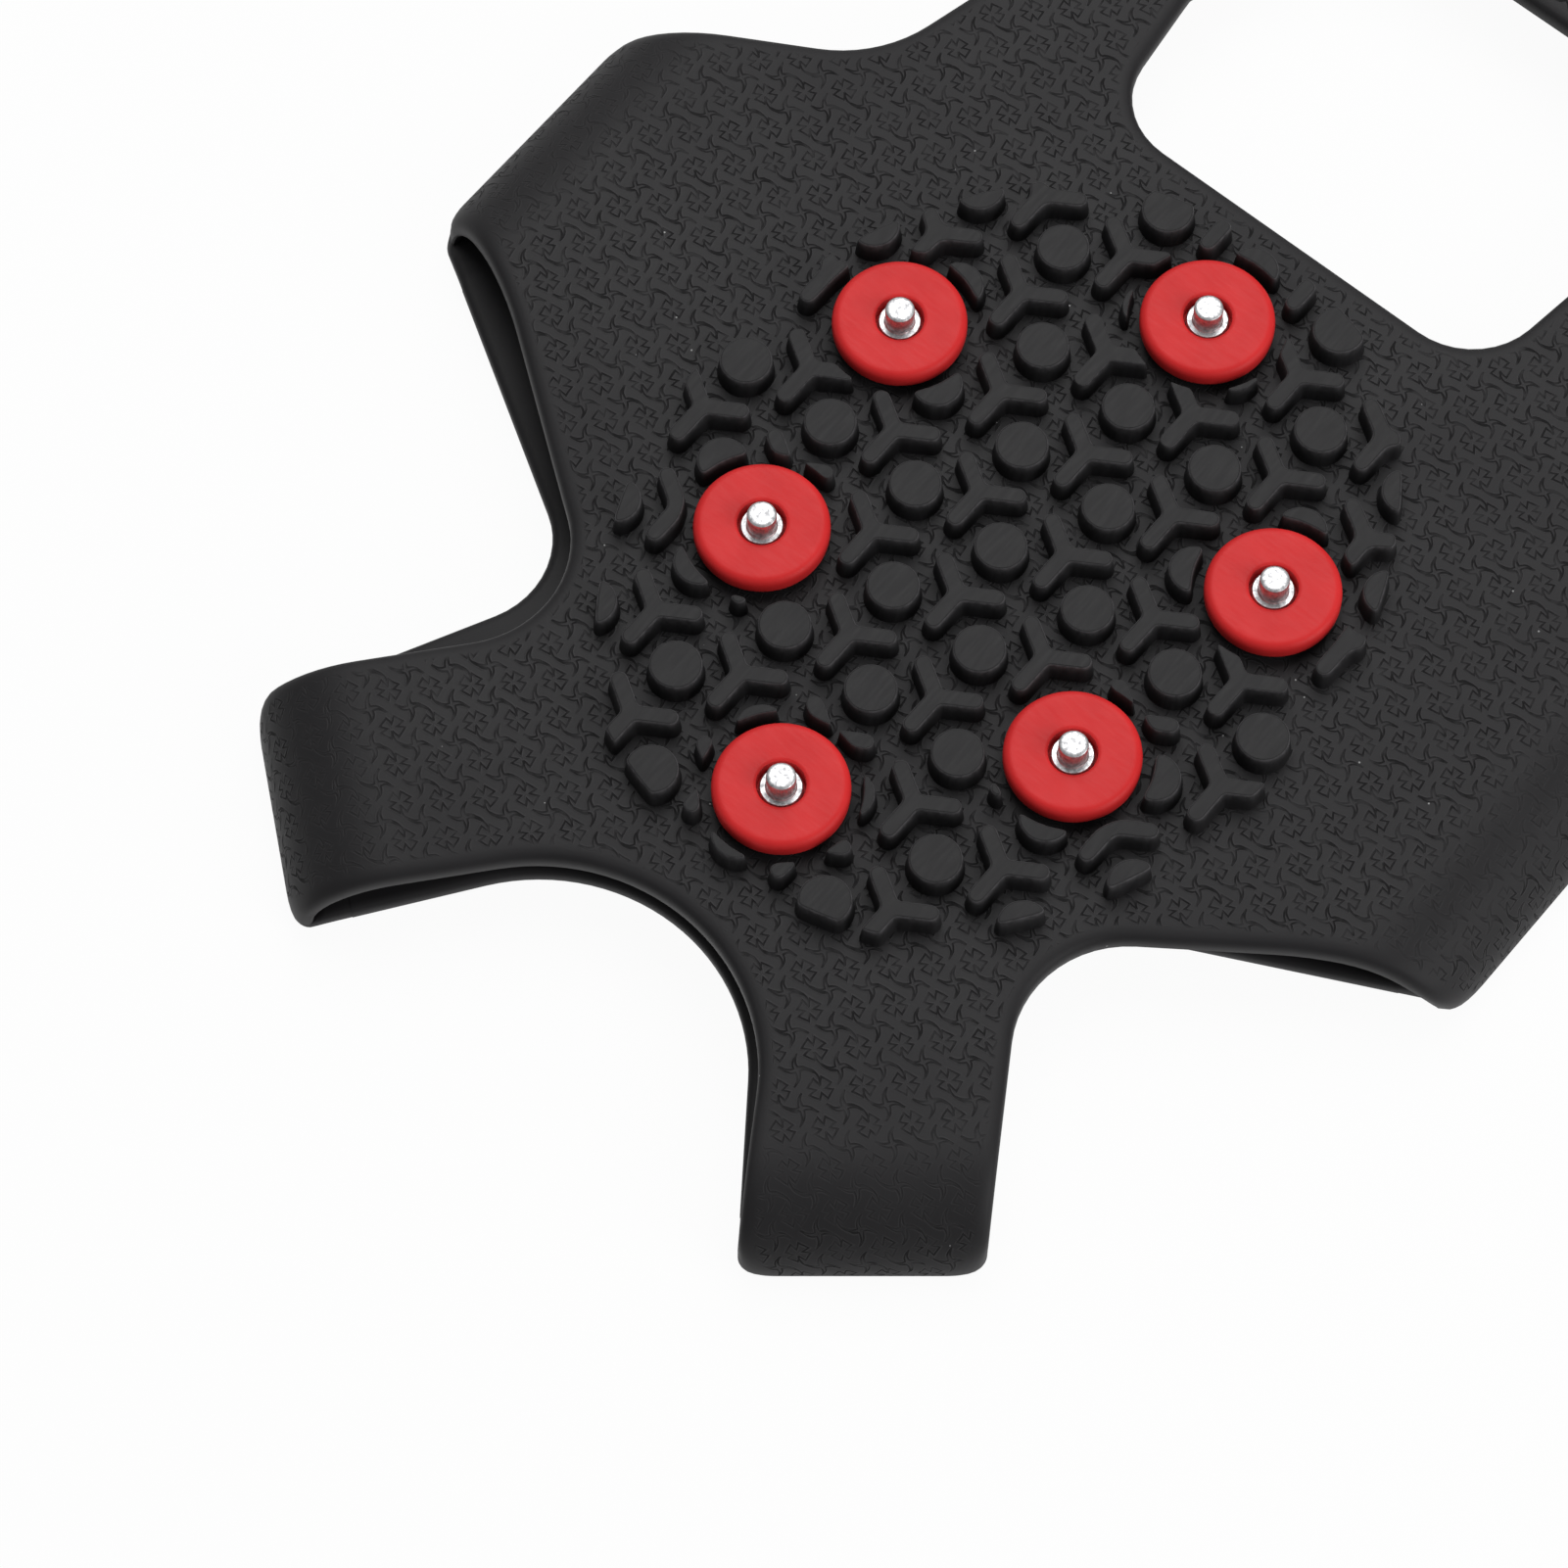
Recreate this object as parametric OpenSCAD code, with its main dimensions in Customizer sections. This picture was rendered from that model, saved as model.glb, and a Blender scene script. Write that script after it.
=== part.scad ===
// Slip-on ice cleat: a stretchy rubber sole that pulls over a shoe, with a studded tread.
// X runs across the sole, Y from the toe (-Y) to the heel (+Y), Z up out of the tread.
// It lies tread up on its upper band, and the origin is on the floor under its middle.

/* [Layers] */
// Height of the sole plate's tread face above the floor
stack_h = 10; // [9.6:0.2:12]
// Thickness of the sole plate and of its arms
plate_t = 2.6; // [2.4:0.1:3]
// Thickness of the upper band and of the folded lug ends
band_t = 2.4; // [2:0.1:2.8]
// Outside radius of the folded lug ends
fold_r = 4.2; // [3.8:0.1:4.6]
// Slope of the lugs down to their folded ends, in degrees
lug_slope = 12; // [10:0.5:15]
// Rounding of the lug corners in plan
lug_corner_r = 3; // [2:0.25:4]

/* [Forefoot outline] */
// Distance from the tread centre to the apex of the toe notch
toe_notch_y = 49.8; // [49:0.2:52]
// Radius of the toe notch
toe_notch_r = 21.8; // [20:0.2:23]
// How far the toe notch, as it lies, is to the left of the middle
toe_notch_shift = 0.8; // [0:0.2:1.6]
// Mean distance from the tread centre to the folded end of a front lug
front_lug_reach = 75; // [73:0.2:78]
// How much further the left front lug reaches than that, and the right one less, as it lies
front_lug_skew = 0.7; // [0:0.1:1.5]
// Direction of a front lug's end, degrees off the X axis
front_lug_turn = 50.4; // [49:0.2:53]
// Mean direction of a front lug's sides, degrees off the X axis
front_lug_lean = 53.5; // [52:0.1:56]
// How many degrees further out the left front lug leans than that, and the right one less
front_lug_splay = 4; // [0:0.5:5]
// Mean distance from the middle to the folded end of a side lug
side_lug_reach = 67.6; // [66:0.2:70]
// How much further the left side lug reaches than that, and the right one less, as it lies
side_lug_skew = 3.3; // [0:0.1:4]
// Angle of a side lug's front flank off the X axis
side_lug_front = 36; // [33:0.5:38]
// Length over which a side lug's front flank flares out to its folded end
side_flare = 9; // [7:0.5:11]
// Angle of that flank off the X axis at the folded end
side_flare_lean = 12; // [8:0.5:20]
// Angle of a side lug's rear flank off the X axis
side_lug_rear = 30; // [27:0.5:33]
// Distance from the middle to the centre of the side notch
side_notch_x = 43.5; // [42.5:0.5:45]
// Distance from the tread centre to the side notch, towards the toe
side_notch_y = 33; // [31:0.5:34]
// Radius of the side notch
side_notch_r = 11.6; // [10.5:0.1:12]
// Distance from the middle to the centre of the curve behind a side lug
flank_x = 59.5; // [58.5:0.5:61]
// Distance from the tread centre to the curve behind a side lug
flank_y = 47.5; // [46:0.5:49]
// Radius of the curve behind a side lug
flank_r = 15; // [13.5:0.5:15.5]

/* [Window and heel outline] */
// Distance from the tread centre to the front edge of the window
window_y = 47.5; // [46:0.5:49]
// Half width of the window at its widest
window_half_w = 26.5; // [25.5:0.5:27.5]
// Half width of the window at its front corners
window_front_w = 25; // [23.5:0.5:25.5]
// Half width of the window at its rear corners
window_rear_w = 23.5; // [22:0.5:24.5]
// Radius of the window's front corners
window_front_r = 8.5; // [7:0.5:9.5]
// Radius of the window's rear corners
window_rear_r = 7; // [5:0.5:8]
// Distance from the forefoot tread centre to the heel tread centre
heel_y = 106; // [102:1:110]
// Distance from the heel tread centre to the rear edge of the window
heel_window_y = 20; // [19:0.5:22]
// Distance from the heel tread centre to the folded end of a heel lug
heel_lug_reach = 36; // [35.5:0.5:39]
// Direction of a heel lug, degrees off the X axis
heel_lug_lean = 50; // [47:1:52]
// Distance from the heel tread centre to the apex of the heel notch
heel_notch_y = 16; // [15.5:0.5:18]
// Radius of the heel notch
heel_notch_r = 14; // [12:0.5:15]
// Distance from the middle to the centre of the curve between an arm and a heel lug
heel_flank_x = 42; // [41:0.5:44]
// Distance from the heel tread centre to the centre of that curve, towards the toe
heel_flank_y = 4; // [2:0.5:6]
// Radius of the curve between an arm and a heel lug
heel_flank_r = 11; // [9.5:0.5:12]

/* [Upper band] */
// How far the band, as it lies, is drawn to the left of the plate
band_shift = 2.5; // [0:0.25:3]
// How far the band's toe notch lies behind the plate's
band_toe_lag = 2.1; // [0:0.1:3]
// How far the band's side notches lie behind the plate's
band_side_lag = 3; // [0:0.25:4]
// How much smaller the radius of the band's toe notch is than the plate's
band_toe_out = 1; // [0:0.2:2]
// How much smaller the radius of the band's left side notch is than the plate's
band_left_out = 1.8; // [0:0.2:2.4]
// How much larger the radius of the band's right side notch is than the plate's
band_right_back = 0; // [0:0.2:4]
// How far the band's corner lies behind the plate's at the folded end of the right side lug
band_corner_lag = 3; // [0:0.25:4]
// Distance from the tread centre to the front of the foot opening
mouth_front_y = 36; // [34:0.5:38]
// Distance from the heel tread centre to the rear of the foot opening
mouth_rear_y = 6; // [4:0.5:7]
// Radius of the front of the foot opening
mouth_front_r = 28; // [26:0.5:28.5]
// Radius of the rear of the foot opening
mouth_rear_r = 22; // [19:0.5:23]
// How far before the fold the foot opening starts to narrow
mouth_taper = 6; // [0:1:12]
// Width of the pull tab
tab_w = 18; // [15:0.5:20]
// Length of the pull tab past the heel notch
tab_len = 18; // [16:0.5:22]
// Diameter of the hanging hole in the pull tab
tab_hole_d = 7; // [5:0.5:9]

/* [Tread] */
// Spacing of the tread buttons across the sole
pitch_x = 11; // [10.5:0.1:12]
// Spacing of the rows of buttons along the sole
pitch_y = 10.23; // [9.8:0.1:11]
// Diameter of a tread button
button_d = 5.3; // [4.4:0.1:5.8]
// Length of a three-armed block's arm from its centre
arm_len = 4.7; // [4:0.1:5]
// Width of a three-armed block's arm
arm_w = 1.7; // [1.2:0.1:2.2]
// Height of the tread blocks above the plate
tread_h = 2.6; // [2:0.1:2.8]
// Depth to which the tread pad is let into the plate
pad_t = 0.6; // [0.4:0.1:0.8]
// Half width of the forefoot tread
tread_half_w = 36.5; // [35:0.5:38]
// Half length of the forefoot tread
tread_half_l = 44; // [42:0.5:45]
// Half width of the heel tread
heel_half_w = 24; // [22:0.5:25]
// Half length of the heel tread
heel_half_l = 15; // [14:0.5:15.5]

/* [Studs] */
// Diameter of a stud's red plastic disc
disc_d = 13.75; // [12:0.25:14.5]
// Height of the disc's top face above the plate
disc_h = 2.9; // [2.7:0.1:3.5]
// Rounding of the disc's rim
disc_rim_r = 1.25; // [0.6:0.05:1.5]
// Diameter of the disc's neck, which turns in the sole
neck_d = 7; // [6:0.25:8]
// Diameter of the recess round the steel collar
recess_d = 4.9; // [4.8:0.1:5.4]
// Diameter of the steel collar and shank
collar_d = 4.4; // [3.6:0.1:4.6]
// How far the collar lies below the disc's top face
collar_drop = 0.4; // [0.2:0.1:0.8]
// Diameter of the steel point
point_d = 3; // [2.4:0.1:3.4]
// Length of the steel point above its collar
point_len = 2.5; // [1.5:0.1:3]
// Diameter of the steel head under the sole
head_d = 11; // [9.5:0.25:11.5]
// Thickness of the steel head under the sole
head_t = 1; // [0.8:0.1:1.1]
// Chamfer of the steel point's tip
point_edge = 0.2; // [0.1:0.05:0.4]
// Distance from the tread centre to the stud nearest the toe
toe_stud_y = 34.3; // [33.5:0.1:35]
// Distance from the middle to a front side stud
front_stud_x = 19.8; // [18:0.1:21]
// Distance from the tread centre to the front side studs, towards the toe
front_stud_y = 13.4; // [12:0.1:14.5]
// Distance from the middle to a rear side stud
rear_stud_x = 23.9; // [22:0.1:25]
// Distance from the tread centre to the rear side studs, towards the heel
rear_stud_y = 13.4; // [12:0.1:14.5]
// Distance from the tread centre to the stud nearest the window
window_stud_y = 33.4; // [32.5:0.1:35]
// Distance from the middle to a heel stud
heel_stud_x = 13.5; // [12:0.1:15]
// Distance from the heel tread centre to the front heel studs
heel_stud_front = 8.5; // [8:0.1:9]
// Distance from the heel tread centre to the rear heel studs
heel_stud_rear = 7.5; // [7:0.1:8]

/* [Hidden] */
$fn = 64;

rubber = "#2e2c2e";
red = "#c73839";
steel = "#c8c8c8";

// Running clearances: neck in its hole, head and disc against the sole, head rim, and the fold
neck_play = 0.05;
face_play = 0.1;
head_play = 0.3;
fold_play = 0.3;
// Room left in the tread round each disc
disc_room = 1.3;
// How far outside the tread patch the middle of a block may be that is cut off, but kept
edge_keep = 1.2;
// Fit of the steel shank in the disc
shank_play = 0.02;
// How much wider a rounding is than a touching circle, so that it crosses the straight sides
lap = 0.01;
// How far the outline runs past a lug's rolled end, which then cuts it off
end_lap = 0.05;
// Flat run of a lug before its slope starts
lug_root = 0.8;
// How far the rounded ends at the fold reach past the rubber's outer faces
fold_lap = 1.5;
// How far cuts run past a face, and a size greater than the whole cleat
over = 1;
beyond = 400;

function dir(a) = [cos(a), sin(a)];
function unit(v) = v / norm(v);
// Point on the line from p along d that is at distance reach from c, measured along n
function meet(p, d, c, n, reach) = p + d * (reach - (p - c) * n) / (d * n);
// Half of the angle at corner b between its neighbours a and c
function half_angle(a, b, c) = acos(unit(a - b) * unit(c - b)) / 2;
// Centre of a rounding of radius r at corner b, and the two points where it leaves the sides
function round_centre(a, b, c, r) = b + unit(unit(a - b) + unit(c - b)) * r / sin(half_angle(a, b, c));
function round_ends(a, b, c, r) =
    let (run = r / tan(half_angle(a, b, c))) [b + unit(a - b) * run, b + unit(c - b) * run];

// The folded lug: its rolled end, where its slope leaves the roll outside and inside,
// and how far back the slope runs until it meets the plate's two faces
roll = [fold_r, fold_r];
roll_in_r = fold_r - band_t;
slope_out = roll + fold_r * dir(90 + lug_slope);
slope_in = roll + roll_in_r * dir(90 + lug_slope);
slope_run = slope_out.x + (stack_h - slope_out.y) / tan(lug_slope);
under_run = slope_in.x + (stack_h - plate_t - slope_in.y) / tan(lug_slope);
lug_len = max(slope_run, under_run) + lug_root;

// Centres of the round parts of the outline
origin = [0, 0];
heel = [0, heel_y];
toe_c = [0, -toe_notch_y - toe_notch_r];
side_c = [side_notch_x, -side_notch_y];
flank_c = [flank_x, flank_y];
heel_flank_c = [heel_flank_x, heel_y - heel_flank_y];
heel_notch_c = [0, heel_y + heel_notch_y + heel_notch_r];
window_end = heel_y - heel_window_y;
mouth_front_c = [0, mouth_front_r - mouth_front_y];
mouth_rear_c = [0, heel_y + mouth_rear_y - mouth_rear_r];

// The arms' outer edges run straight between the two flank curves, touching both
arm_vec = heel_flank_c - flank_c;
arm_side = atan2(arm_vec.y, arm_vec.x) + 90 + asin((heel_flank_r - flank_r) / norm(arm_vec));

// The fold across the arms: its axis lies in the middle of the plate, half way along the window
fold_y = (window_y + window_end) / 2;
fold_z = stack_h - plate_t / 2;
plate_fold_r = plate_t / 2 + fold_lap;
band_fold_r = fold_z + fold_lap;

fore_studs = [
    [0, -toe_stud_y],
    [-front_stud_x, -front_stud_y],
    [front_stud_x, -front_stud_y],
    [-rear_stud_x, rear_stud_y],
    [rear_stud_x, rear_stud_y],
    [0, window_stud_y]];
heel_studs = [for (y = [-heel_stud_front, heel_stud_rear], x = [-heel_stud_x, heel_stud_x]) heel + [x, y]];
studs = concat(fore_studs, heel_studs);

// Sides of the outline are told apart by +1 for the right one and -1 for the left one, which is
// given as its mirror image. The notches belong to the plate or to the band
function toe_at(side, band) =
    toe_c - (band ? [side * band_shift, -band_toe_lag] : [side * toe_notch_shift, 0]);
function toe_r(band) = toe_notch_r - (band ? band_toe_out : 0);
function notch_at(side, band) = band ? side_c + [-side * band_shift, band_side_lag] : side_c;
function notch_r(side, band) =
    side_notch_r + (band ? (side > 0 ? band_right_back : -band_left_out) : 0);

// How far a front lug reaches, and how its sides lean
function front_reach(side) = front_lug_reach - side * front_lug_skew;
function front_lean(side) = front_lug_lean + side * front_lug_splay;

// Where the notches and the flank curves run out into the sides of the lugs
function toe_side(side, band) = toe_at(side, band) + toe_r(band) * dir(90 - front_lean(side));
function notch_front(side, band) =
    notch_at(side, band) + notch_r(side, band) * dir(270 - front_lean(side));
function notch_rear(side, band) = notch_at(side, band) + notch_r(side, band) * dir(90 + side_lug_front);
flank_front = flank_c + flank_r * dir(270 - side_lug_rear);
flank_rear = heel_flank_c + heel_flank_r * dir(90 + heel_lug_lean);
back_side = heel_notch_c + heel_notch_r * dir(heel_lug_lean - 90);

// Corners of the lugs' ends, which the plate and the band share because they meet in the fold,
// apart from the front one of the right side lug
toe_n = dir(-front_lug_turn);
heel_n = dir(heel_lug_lean);
heel_end_reach = heel_lug_reach + end_lap;
function toe_corner(side, start) =
    meet(start, dir(-front_lean(side)), origin, toe_n, front_reach(side) + end_lap);
function toe_in(side) = toe_corner(side, toe_side(side, false));
function toe_out(side) = toe_corner(side, notch_front(side, false));
heel_in = meet(flank_rear, heel_n, heel, heel_n, heel_end_reach);
heel_out = meet(back_side, heel_n, heel, heel_n, heel_end_reach);
function side_reach(side) = side_lug_reach - side * side_lug_skew;
function flare_start(side) =
    meet(notch_rear(side, false), dir(side_lug_front), origin, [1, 0], side_reach(side) - side_flare);
function side_in(side) = flare_start(side) + (side_flare + end_lap) * [1, tan(side_flare_lean)];
function side_out(side) =
    meet(flank_front, dir(-side_lug_rear), origin, [1, 0], side_reach(side) + end_lap);

function side_front(side, band) = side_in(side) + (band && side > 0 ? [0, band_corner_lag] : [0, 0]);

// Front flank of a side lug: on the plate it is straight and then curves out to the lug's corner
function flare_back(side) = flare_start(side) - norm(side_in(side) - flare_start(side)) * dir(side_lug_front);
function flank_points(side, band) = band ? [notch_rear(side, band)] :
    concat([notch_rear(side, band)], [for (t = [0 : 0.25 : 0.75])
        (1 - t) * (1 - t) * flare_back(side) + 2 * t * (1 - t) * flare_start(side) + t * t * side_in(side)]);

// Middle of the whole outline, which is over the origin
function toe_tip(side, band) =
    round_centre(toe_side(side, band), toe_in(side), toe_out(side), lug_corner_r).y - lug_corner_r - lap;
toe_end = min([for (side = [1, -1], band = [false, true]) toe_tip(side, band)]);
tab_end = heel_y + heel_notch_y + tab_len;
mid_y = (toe_end + tab_end) / 2;
mid_x = (side_reach(1) - side_reach(-1)) / 2;

// One half of the outline, from the toe round to the heel; its rounded corners are listed first,
// each between its two neighbours
function corners(side, band) = [
    [toe_side(side, band), toe_in(side), toe_out(side)],
    [toe_in(side), toe_out(side), notch_front(side, band)],
    [band ? notch_rear(side, band) : flare_start(side), side_front(side, band), side_out(side)],
    [side_front(side, band), side_out(side), flank_front],
    [flank_rear, heel_in, heel_out],
    [heel_in, heel_out, back_side]];
function half_outline(side, band) =
    let (
        k = corners(side, band),
        ends = [for (c = k) round_ends(c[0], c[1], c[2], lug_corner_r)])
    [toe_side(side, band), each ends[0], each ends[1], notch_front(side, band),
     each flank_points(side, band), each ends[2], each ends[3], flank_front,
     flank_c + flank_r * dir(arm_side), heel_flank_c + heel_flank_r * dir(arm_side),
     flank_rear, each ends[4], each ends[5], back_side];
function mirrored(pts) = [for (i = [len(pts) - 1 : -1 : 0]) [-pts[i].x, pts[i].y]];

module on_side(side) {
    if (side > 0) children();
    else mirror([1, 0, 0]) children();
}
module both_sides() {
    children();
    mirror([1, 0, 0]) children();
}

// Outline of the plate or the band with its lugs: straight sides and round corners, less the notches
module outline(band) difference() {
    union() {
        polygon(concat(half_outline(1, band), mirrored(half_outline(-1, band))));
        on_side(1) round_corners(corners(1, band));
        on_side(-1) round_corners(corners(-1, band));
    }
    translate(toe_at(1, band)) circle(toe_r(band) + lap);
    translate(heel_notch_c) circle(heel_notch_r + lap);
    on_side(1) translate(notch_at(1, band)) circle(notch_r(1, band) + lap);
    on_side(-1) translate(notch_at(-1, band)) circle(notch_r(-1, band) + lap);
    both_sides() {
        translate(flank_c) circle(flank_r + lap);
        translate(heel_flank_c) circle(heel_flank_r + lap);
    }
}
module round_corners(k)
    for (c = k) translate(round_centre(c[0], c[1], c[2], lug_corner_r)) circle(lug_corner_r + lap);

// Window between the arms
module window() {
    front = [window_front_w - window_front_r, window_y + window_front_r];
    rear = [window_rear_w - window_rear_r, window_end - window_rear_r];
    right = [[front.x, window_y], [window_front_w, front.y], [window_half_w, fold_y],
             [window_rear_w, rear.y], [rear.x, window_end]];
    polygon(concat(right, mirrored(right)));
    both_sides() {
        translate(front) circle(window_front_r + lap);
        translate(rear) circle(window_rear_r + lap);
    }
}

// Opening in the upper band that the foot goes through; its front lies aside with the band
function mouth_half(side) = [
    [mouth_front_r - side * band_shift, mouth_front_c.y],
    [mouth_front_r - side * band_shift, fold_y - mouth_taper],
    [mouth_rear_r, mouth_rear_c.y]];
module mouth() {
    polygon(concat(mouth_half(1), mirrored(mouth_half(-1))));
    translate(mouth_front_c - [band_shift, 0]) circle(mouth_front_r + lap);
    translate(mouth_rear_c) circle(mouth_rear_r + lap);
}

// Everything out along +X from a distance run behind a lug's end
module past(reach, run)
    translate([reach - run, -beyond / 2, -over]) cube([beyond, beyond, stack_h + 2 * over]);

// Arc of the rolled end from angle a to angle b, in equal steps of about 6 degrees
function roll_arc(r, a, b) =
    let (steps = ceil(abs(b - a) / 6)) [for (i = [0 : steps]) roll + r * dir(a + (b - a) * i / steps)];

// Side view of a lug's upper leg: x runs back from its folded end, y up from the floor
module leg_profile() polygon(concat(
    roll_arc(fold_r, 180, 90 + lug_slope),
    [[slope_run, stack_h], [lug_len, stack_h]],
    [[lug_len, stack_h - plate_t], [under_run, stack_h - plate_t]],
    roll_arc(roll_in_r, 90 + lug_slope, 180)));

// Side view of the lower half of the rolled end, which turns into the band
module lip_profile() polygon(concat(roll_arc(fold_r, 270, 180), roll_arc(roll_in_r, 180, 270)));

// A side view run across the sole, with the folded end out along +X
module across(reach)
    translate([reach, 0, 0]) mirror([1, 0, 0]) rotate([90, 0, 0])
        linear_extrude(beyond, center = true) children();

module at_front_lug() rotate(-front_lug_turn) children();
module at_heel_lug() translate(heel) rotate(heel_lug_lean) children();

// The forefoot's side of the fold: it ends in a cylinder about the fold's axis
module fore_side(r) {
    translate([-beyond / 2, fold_y - beyond, -over]) cube([beyond, beyond, stack_h + 2 * over]);
    translate([0, fold_y, fold_z]) rotate([0, 90, 0]) cylinder(r = r, h = beyond, center = true);
}

module in_frame() translate([-mid_x, -mid_y, 0]) children();

// Oval tread patch about a centre: a lens of two wide arcs with its tips rounded off.
function lens_r(half_w, half_l) = max(half_w, half_l) ^ 2 / min(half_w, half_l);
function lens_c(half_w, half_l) =
    (lens_r(half_w, half_l) - min(half_w, half_l)) * (half_w < half_l ? [1, 0] : [0, 1]);
module oval(half_w, half_l) intersection() {
    circle(max(half_w, half_l));
    translate(lens_c(half_w, half_l)) circle(lens_r(half_w, half_l));
    translate(-lens_c(half_w, half_l)) circle(lens_r(half_w, half_l));
}
function in_oval(p, half_w, half_l) = norm(p) < max(half_w, half_l)
    && norm(p - lens_c(half_w, half_l)) < lens_r(half_w, half_l)
    && norm(p + lens_c(half_w, half_l)) < lens_r(half_w, half_l);
function on_patch(p, half_w, half_l) = in_oval(p, half_w + edge_keep, half_l + edge_keep);
module fore_patch() oval(tread_half_w, tread_half_l);
module heel_patch() translate(heel) oval(heel_half_w, heel_half_l);

// Tread blocks on their lattice, those whose middle is on the patch or just outside: buttons in
// rows i and columns j, and a three-armed block on the toe side of each
module blocks(half_w, half_l) {
    rows = ceil(half_l / pitch_y) + 1;
    cols = ceil(half_w / pitch_x);
    for (i = [-rows : rows], j = [-cols : cols]) {
        button = [pitch_x * (i % 2 == 0 ? j : j + 0.5), pitch_y * i];
        arms = button - [0, pitch_y * 2 / 3];
        if (on_patch(button, half_w, half_l)) translate(button) circle(d = button_d);
        if (on_patch(arms, half_w, half_l)) translate(arms) three_arms();
    }
}
module three_arms() {
    rise = atan2(pitch_y / 3, pitch_x / 2);
    for (a = [-90, rise, 180 - rise]) rotate(a) {
        translate([0, -arm_w / 2]) square([arm_len - arm_w / 2, arm_w]);
        translate([arm_len - arm_w / 2, 0]) circle(d = arm_w);
    }
}

// A stud's way through the sole: the neck's hole, and a seat for the head on the foot side
module stud_hole(p) translate([p.x, p.y, stack_h - plate_t]) {
    translate([0, 0, -over]) cylinder(d = neck_d + 2 * neck_play, h = plate_t + 2 * over);
    translate([0, 0, -over]) cylinder(d = head_d + 2 * head_play, h = over + head_t + face_play);
}

// Sole plate of both halves, without the lugs
module plate() difference() {
    translate([0, 0, stack_h - plate_t]) linear_extrude(plate_t) difference() {
        outline(false);
        window();
    }
    for (side = [1, -1]) on_side(side) {
        at_front_lug() past(front_reach(side), lug_len);
        past(side_reach(side), lug_len);
        at_heel_lug() past(heel_lug_reach, lug_len);
    }
    translate([0, 0, stack_h - pad_t]) linear_extrude(plate_t) {
        fore_patch();
        heel_patch();
    }
    for (p = studs) stud_hole(p);
}

// Upper band of both halves, with the undersides of the lugs rolled up at their ends
module band() {
    difference() {
        linear_extrude(band_t) difference() {
            outline(true);
            mouth();
        }
        for (side = [1, -1]) on_side(side) {
            at_front_lug() past(front_reach(side), fold_r);
            past(side_reach(side), fold_r);
            at_heel_lug() past(heel_lug_reach, fold_r);
        }
    }
    intersection() {
        linear_extrude(fold_r) outline(true);
        union() for (side = [1, -1]) on_side(side) {
            at_front_lug() across(front_reach(side)) lip_profile();
            across(side_reach(side)) lip_profile();
            at_heel_lug() across(heel_lug_reach) lip_profile();
        }
    }
}
module heel_band() difference() {
    band();
    fore_side(band_fold_r + fold_play);
}
// Half spaces used to divide the band
module one_half(side)
    translate([side > 0 ? 0 : -beyond, -beyond, -over]) cube([beyond, 2 * beyond, stack_h + 2 * over]);
module before(y)
    translate([-beyond / 2, y - beyond, -over]) cube([beyond, beyond, stack_h + 2 * over]);

// Tread of one half: a thin pad let into the plate, with its blocks cut off at the patch's edge
module tread(centre, half_w, half_l) difference() {
    union() {
        translate([0, 0, stack_h - pad_t]) linear_extrude(pad_t) children();
        translate([0, 0, stack_h - pad_t / 2]) linear_extrude(tread_h + pad_t / 2) difference() {
            intersection() {
                translate(centre) blocks(half_w, half_l);
                children();
            }
            for (p = studs) translate(p) circle(d = disc_d + 2 * disc_room);
        }
    }
    for (p = studs) stud_hole(p);
}

// Forefoot sole plate with the front of both arms
module sole_fore() color(rubber) in_frame() intersection() {
    plate();
    fore_side(plate_fold_r);
}

// Heel sole plate with the rear of both arms
module sole_heel() color(rubber) in_frame() difference() {
    plate();
    fore_side(plate_fold_r + fold_play);
}

// Forefoot tread
module tread_fore() color(rubber) in_frame() tread(origin, tread_half_w, tread_half_l) fore_patch();

// Heel tread
module tread_heel() color(rubber) in_frame() tread(heel, heel_half_w, heel_half_l) heel_patch();

// A lug's upper leg on one side, cut to the outline
module lug_leg(side) color(rubber) in_frame() intersection() {
    linear_extrude(stack_h + over) outline(false);
    on_side(side) children();
}

// Front lug beside the toe notch
module front_lug(side) lug_leg(side) at_front_lug() across(front_reach(side)) leg_profile();

// Wide side lug
module side_lug(side) lug_leg(side) across(side_reach(side)) leg_profile();

// Heel lug
module heel_lug(side) lug_leg(side) at_heel_lug() across(heel_lug_reach) leg_profile();

// Upper band over the toe, with the undersides of the front lugs
module band_toe() color(rubber) in_frame() intersection() {
    band();
    before(-side_notch_y);
}

// Upper band along one side of the forefoot, with the underside of the side lug
module band_fore(side) color(rubber) in_frame() difference() {
    intersection() {
        band();
        fore_side(band_fold_r);
        one_half(side);
    }
    before(-side_notch_y);
}

// Upper band along one side of the heel half
module band_side_heel(side) color(rubber) in_frame() intersection() {
    heel_band();
    one_half(side);
    before(heel_y);
}

// Upper band round the back of the heel, with the undersides of the heel lugs
module band_heel() color(rubber) in_frame() difference() {
    band();
    before(heel_y);
}

// Pull tab in the heel notch, with a hole to hang the cleat by
module pull_tab() color(rubber) in_frame() linear_extrude(band_t) difference() {
    intersection() {
        union() {
            translate([-tab_w / 2, heel_y]) square([tab_w, tab_end - tab_w / 2 - heel_y]);
            translate([0, tab_end - tab_w / 2]) circle(d = tab_w);
        }
        translate(heel_notch_c) circle(heel_notch_r);
    }
    translate([0, tab_end - tab_w / 2]) circle(d = tab_hole_d);
}

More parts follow.
